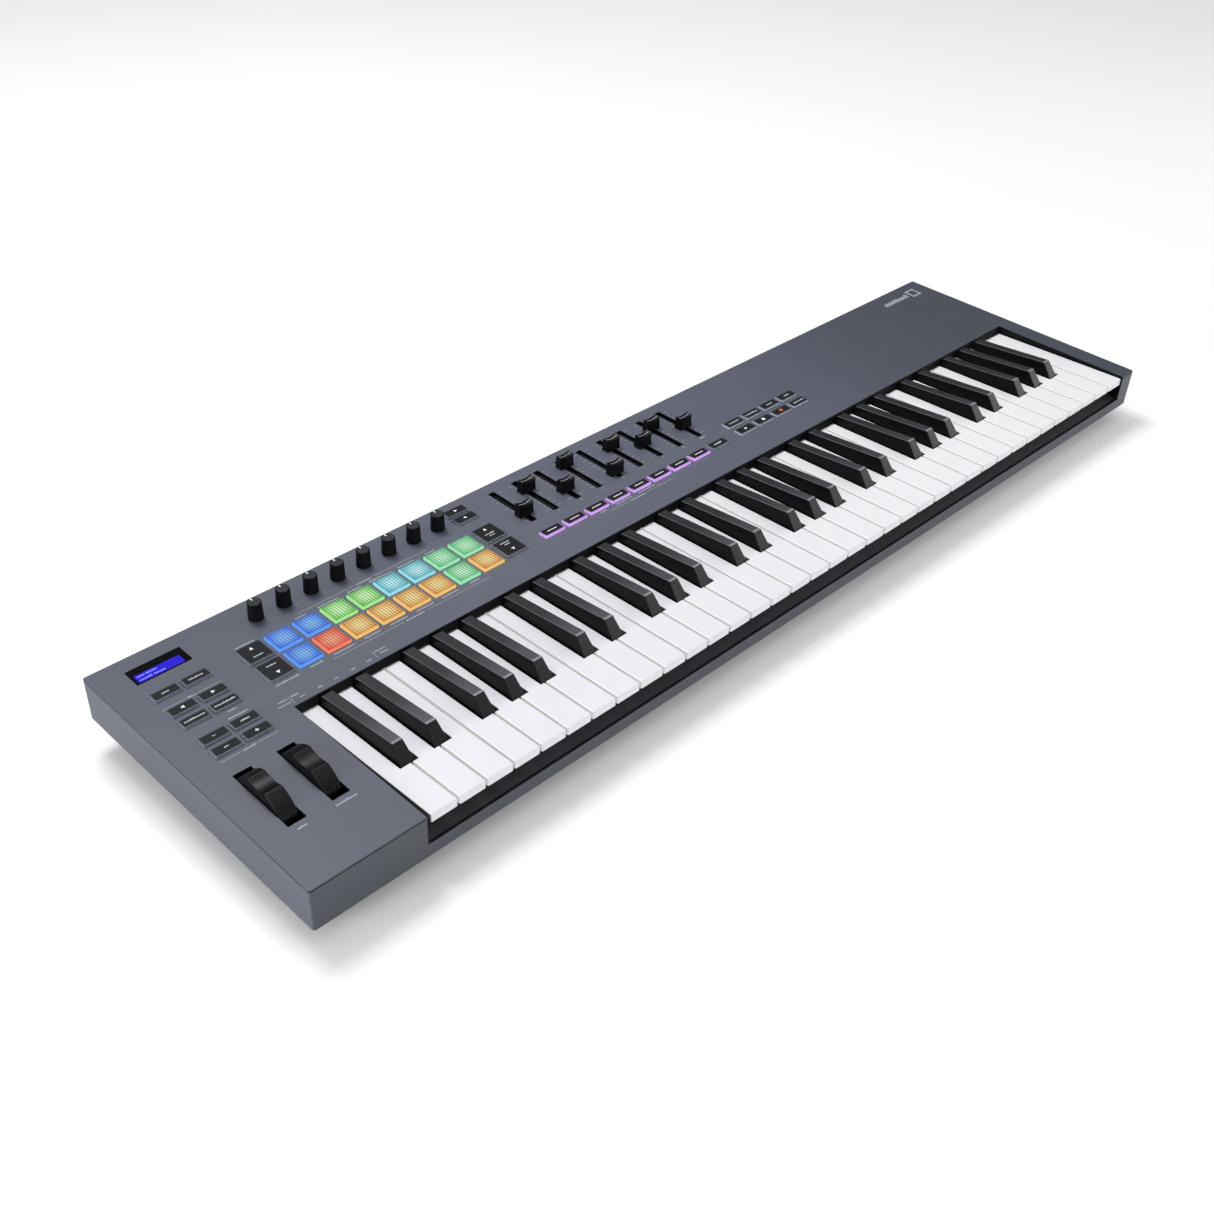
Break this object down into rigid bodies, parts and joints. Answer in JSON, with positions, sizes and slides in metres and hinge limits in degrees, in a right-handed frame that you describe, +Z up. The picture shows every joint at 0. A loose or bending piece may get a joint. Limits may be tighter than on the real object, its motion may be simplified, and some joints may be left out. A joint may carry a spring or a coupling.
{
  "type": "keyboard synthesizer controller",
  "caption": "Slim keyboard controller with piano-style keys, two thumb wheels, a small display, lit drum pads, rotary knobs, slide faders and push buttons.",
  "frame": {"origin": "bottom centre of the whole instrument, on the surface its feet stand on", "axes": "+X to the player's right along the keyboard, +Y away from the player, +Z up"},
  "size_m": [0.9554, 0.259, 0.0741],
  "materials": {
    "case_plastic": "fine satin texture, blue-grey",
    "tray_plastic": "coarse matte black",
    "foot_rubber": "matte",
    "screw_steel": "black-zinc",
    "chassis_plastic": "moulded black",
    "rod_steel": "bright",
    "spring_steel": "bright",
    "stop_felt": "black felt",
    "circuit_board": "solder resist",
    "contact_rubber": "silicone",
    "switch_plastic": "moulded black",
    "window_gloss": "polished black",
    "display_light": "backlit blue",
    "track_steel": "blackened",
    "socket_steel": "tinned",
    "socket_plastic": "moulded black",
    "white_key": "polished white",
    "black_key": "fine satin black",
    "wheel_plastic": "soft-touch black",
    "knob_rubber": "soft-touch black",
    "fader_plastic": "satin black",
    "pad_rubber": "translucent, lit from below in several colours",
    "button_rubber": "charcoal with a translucent rim",
    "button_rim": "translucent grey-blue",
    "rim_light": "translucent, lit violet",
    "print_ink": "pale printed ink"
  },
  "bodies": {
    "case": {"top_panel": "case_plastic", "lower_case": "case_plastic", "bottom_tray": "tray_plastic", "rubber_feet": "foot_rubber", "case_screws": "screw_steel", "keybed_frame": "chassis_plastic", "key_pivot_rod": "rod_steel", "key_springs": "spring_steel", "key_stop_felt": "stop_felt", "contact_board": "circuit_board", "contact_rubber": "contact_rubber", "main_board": "circuit_board", "control_board": "circuit_board", "control_switches": "switch_plastic", "display_window": "window_gloss", "display_module": "display_light", "knob_pots": "switch_plastic", "fader_tracks": "track_steel", "wheel_bracket": "chassis_plastic", "usb_socket": "socket_steel", "midi_socket": "socket_plastic", "pedal_jack": "socket_plastic"},
    "white_keys_c": {"white_keys_c": "white_key"},
    "white_keys_d": {"white_keys_d": "white_key"},
    "white_keys_e": {"white_keys_e": "white_key"},
    "white_keys_f": {"white_keys_f": "white_key"},
    "white_keys_g": {"white_keys_g": "white_key"},
    "white_keys_a": {"white_keys_a": "white_key"},
    "white_keys_b": {"white_keys_b": "white_key"},
    "black_keys_c_sharp": {"black_keys_c_sharp": "black_key"},
    "black_keys_d_sharp": {"black_keys_d_sharp": "black_key"},
    "black_keys_f_sharp": {"black_keys_f_sharp": "black_key"},
    "black_keys_g_sharp": {"black_keys_g_sharp": "black_key"},
    "black_keys_a_sharp": {"black_keys_a_sharp": "black_key"},
    "pitch_wheel": {"pitch_wheel": "wheel_plastic"},
    "modulation_wheel": {"modulation_wheel": "wheel_plastic"},
    "knob_1": {"knob_1": "knob_rubber"},
    "knob_2": {"knob_2": "knob_rubber"},
    "knob_3": {"knob_3": "knob_rubber"},
    "knob_4": {"knob_4": "knob_rubber"},
    "knob_5": {"knob_5": "knob_rubber"},
    "knob_6": {"knob_6": "knob_rubber"},
    "knob_7": {"knob_7": "knob_rubber"},
    "knob_8": {"knob_8": "knob_rubber"},
    "fader_1": {"fader_1": "fader_plastic"},
    "fader_2": {"fader_2": "fader_plastic"},
    "fader_3": {"fader_3": "fader_plastic"},
    "fader_4": {"fader_4": "fader_plastic"},
    "fader_5": {"fader_5": "fader_plastic"},
    "fader_6": {"fader_6": "fader_plastic"},
    "fader_7": {"fader_7": "fader_plastic"},
    "fader_8": {"fader_8": "fader_plastic"},
    "fader_9": {"fader_9": "fader_plastic"},
    "pads_back_row": {"pads_back_row": "pad_rubber"},
    "pads_front_row": {"pads_front_row": "pad_rubber"},
    "function_buttons": {"function_buttons": "button_rubber"},
    "bank_buttons": {"bank_buttons": "button_rubber"},
    "fader_buttons": {"fader_buttons": "button_rubber"},
    "transport_buttons": {"transport_buttons": "button_rubber"}
  },
  "joints": [
    {"name": "white_keys_c_press", "type": "hinge", "parent": "case", "child": "white_keys_c", "pos_m": [0, 0.05771, 0.0384], "axis": [1, 0, 0], "range_deg": [0, 3.1], "stiffness_Nm_per_rad": 3, "springref_deg": -14.32},
    {"name": "white_keys_d_press", "type": "hinge", "parent": "case", "child": "white_keys_d", "pos_m": [0, 0.05771, 0.0384], "axis": [1, 0, 0], "range_deg": [0, 3.1], "stiffness_Nm_per_rad": 3, "springref_deg": -14.32},
    {"name": "white_keys_e_press", "type": "hinge", "parent": "case", "child": "white_keys_e", "pos_m": [0, 0.05771, 0.0384], "axis": [1, 0, 0], "range_deg": [0, 3.1], "stiffness_Nm_per_rad": 3, "springref_deg": -14.32},
    {"name": "white_keys_f_press", "type": "hinge", "parent": "case", "child": "white_keys_f", "pos_m": [0, 0.05771, 0.0384], "axis": [1, 0, 0], "range_deg": [0, 3.1], "stiffness_Nm_per_rad": 3, "springref_deg": -14.32},
    {"name": "white_keys_g_press", "type": "hinge", "parent": "case", "child": "white_keys_g", "pos_m": [0, 0.05771, 0.0384], "axis": [1, 0, 0], "range_deg": [0, 3.1], "stiffness_Nm_per_rad": 3, "springref_deg": -14.32},
    {"name": "white_keys_a_press", "type": "hinge", "parent": "case", "child": "white_keys_a", "pos_m": [0, 0.05771, 0.0384], "axis": [1, 0, 0], "range_deg": [0, 3.1], "stiffness_Nm_per_rad": 3, "springref_deg": -14.32},
    {"name": "white_keys_b_press", "type": "hinge", "parent": "case", "child": "white_keys_b", "pos_m": [0, 0.05771, 0.0384], "axis": [1, 0, 0], "range_deg": [0, 3.1], "stiffness_Nm_per_rad": 3, "springref_deg": -14.32},
    {"name": "black_keys_c_sharp_press", "type": "hinge", "parent": "case", "child": "black_keys_c_sharp", "pos_m": [0, 0.05771, 0.0384], "axis": [1, 0, 0], "range_deg": [0, 3.1], "stiffness_Nm_per_rad": 3, "springref_deg": -14.32},
    {"name": "black_keys_d_sharp_press", "type": "hinge", "parent": "case", "child": "black_keys_d_sharp", "pos_m": [0, 0.05771, 0.0384], "axis": [1, 0, 0], "range_deg": [0, 3.1], "stiffness_Nm_per_rad": 3, "springref_deg": -14.32},
    {"name": "black_keys_f_sharp_press", "type": "hinge", "parent": "case", "child": "black_keys_f_sharp", "pos_m": [0, 0.05771, 0.0384], "axis": [1, 0, 0], "range_deg": [0, 3.1], "stiffness_Nm_per_rad": 3, "springref_deg": -14.32},
    {"name": "black_keys_g_sharp_press", "type": "hinge", "parent": "case", "child": "black_keys_g_sharp", "pos_m": [0, 0.05771, 0.0384], "axis": [1, 0, 0], "range_deg": [0, 3.1], "stiffness_Nm_per_rad": 3, "springref_deg": -14.32},
    {"name": "black_keys_a_sharp_press", "type": "hinge", "parent": "case", "child": "black_keys_a_sharp", "pos_m": [0, 0.05771, 0.0384], "axis": [1, 0, 0], "range_deg": [0, 3.1], "stiffness_Nm_per_rad": 3, "springref_deg": -14.32},
    {"name": "pitch_wheel_turn", "type": "hinge", "parent": "case", "child": "pitch_wheel", "pos_m": [-0.44955, -0.04546, 0.03619], "axis": [1, 0, 0], "range_deg": [-25, 25], "stiffness_Nm_per_rad": 0.12},
    {"name": "modulation_wheel_turn", "type": "hinge", "parent": "case", "child": "modulation_wheel", "pos_m": [-0.41655, -0.04546, 0.03619], "axis": [1, 0, 0], "range_deg": [-25, 25]},
    {"name": "knob_1_turn", "type": "hinge", "parent": "case", "child": "knob_1", "pos_m": [-0.3537, 0.1058, 0.05944], "axis": [0, -0.0359, 0.9994], "range_deg": [-140, 140]},
    {"name": "knob_2_turn", "type": "hinge", "parent": "case", "child": "knob_2", "pos_m": [-0.3297, 0.1058, 0.05944], "axis": [0, -0.0359, 0.9994], "range_deg": [-140, 140]},
    {"name": "knob_3_turn", "type": "hinge", "parent": "case", "child": "knob_3", "pos_m": [-0.3057, 0.1058, 0.05944], "axis": [0, -0.0359, 0.9994], "range_deg": [-140, 140]},
    {"name": "knob_4_turn", "type": "hinge", "parent": "case", "child": "knob_4", "pos_m": [-0.2817, 0.1058, 0.05944], "axis": [0, -0.0359, 0.9994], "range_deg": [-140, 140]},
    {"name": "knob_5_turn", "type": "hinge", "parent": "case", "child": "knob_5", "pos_m": [-0.2577, 0.1058, 0.05944], "axis": [0, -0.0359, 0.9994], "range_deg": [-140, 140]},
    {"name": "knob_6_turn", "type": "hinge", "parent": "case", "child": "knob_6", "pos_m": [-0.2337, 0.1058, 0.05944], "axis": [0, -0.0359, 0.9994], "range_deg": [-140, 140]},
    {"name": "knob_7_turn", "type": "hinge", "parent": "case", "child": "knob_7", "pos_m": [-0.2097, 0.1058, 0.05944], "axis": [0, -0.0359, 0.9994], "range_deg": [-140, 140]},
    {"name": "knob_8_turn", "type": "hinge", "parent": "case", "child": "knob_8", "pos_m": [-0.1857, 0.1058, 0.05944], "axis": [0, -0.0359, 0.9994], "range_deg": [-140, 140]},
    {"name": "fader_1_slide", "type": "slide", "parent": "case", "child": "fader_1", "axis": [0, 0.9994, 0.0359], "range_m": [-0.0082, 0.0364]},
    {"name": "fader_2_slide", "type": "slide", "parent": "case", "child": "fader_2", "axis": [0, 0.9994, 0.0359], "range_m": [-0.0324, 0.0122]},
    {"name": "fader_3_slide", "type": "slide", "parent": "case", "child": "fader_3", "axis": [0, 0.9994, 0.0359], "range_m": [-0.0118, 0.0328]},
    {"name": "fader_4_slide", "type": "slide", "parent": "case", "child": "fader_4", "axis": [0, 0.9994, 0.0359], "range_m": [-0.0386, 0.006]},
    {"name": "fader_5_slide", "type": "slide", "parent": "case", "child": "fader_5", "axis": [0, 0.9994, 0.0359], "range_m": [-0.0033, 0.0413]},
    {"name": "fader_6_slide", "type": "slide", "parent": "case", "child": "fader_6", "axis": [0, 0.9994, 0.0359], "range_m": [-0.0326, 0.012]},
    {"name": "fader_7_slide", "type": "slide", "parent": "case", "child": "fader_7", "axis": [0, 0.9994, 0.0359], "range_m": [-0.0186, 0.026]},
    {"name": "fader_8_slide", "type": "slide", "parent": "case", "child": "fader_8", "axis": [0, 0.9994, 0.0359], "range_m": [-0.0318, 0.0128]},
    {"name": "fader_9_slide", "type": "slide", "parent": "case", "child": "fader_9", "axis": [0, 0.9994, 0.0359], "range_m": [-0.0166, 0.028]},
    {"name": "pads_back_row_press", "type": "slide", "parent": "case", "child": "pads_back_row", "axis": [0, 0.0359, -0.9994], "range_m": [0, 0.0008], "stiffness_N_per_m": 900, "springref_m": -0.002},
    {"name": "pads_front_row_press", "type": "slide", "parent": "case", "child": "pads_front_row", "axis": [0, 0.0359, -0.9994], "range_m": [0, 0.0008], "stiffness_N_per_m": 900, "springref_m": -0.002},
    {"name": "function_buttons_press", "type": "slide", "parent": "case", "child": "function_buttons", "axis": [0, 0.0359, -0.9994], "range_m": [0, 0.001], "stiffness_N_per_m": 900, "springref_m": -0.002},
    {"name": "bank_buttons_press", "type": "slide", "parent": "case", "child": "bank_buttons", "axis": [0, 0.0359, -0.9994], "range_m": [0, 0.001], "stiffness_N_per_m": 900, "springref_m": -0.002},
    {"name": "fader_buttons_press", "type": "slide", "parent": "case", "child": "fader_buttons", "axis": [0, 0.0359, -0.9994], "range_m": [0, 0.001], "stiffness_N_per_m": 900, "springref_m": -0.002},
    {"name": "transport_buttons_press", "type": "slide", "parent": "case", "child": "transport_buttons", "axis": [0, 0.0359, -0.9994], "range_m": [0, 0.001], "stiffness_N_per_m": 900, "springref_m": -0.002}
  ]
}
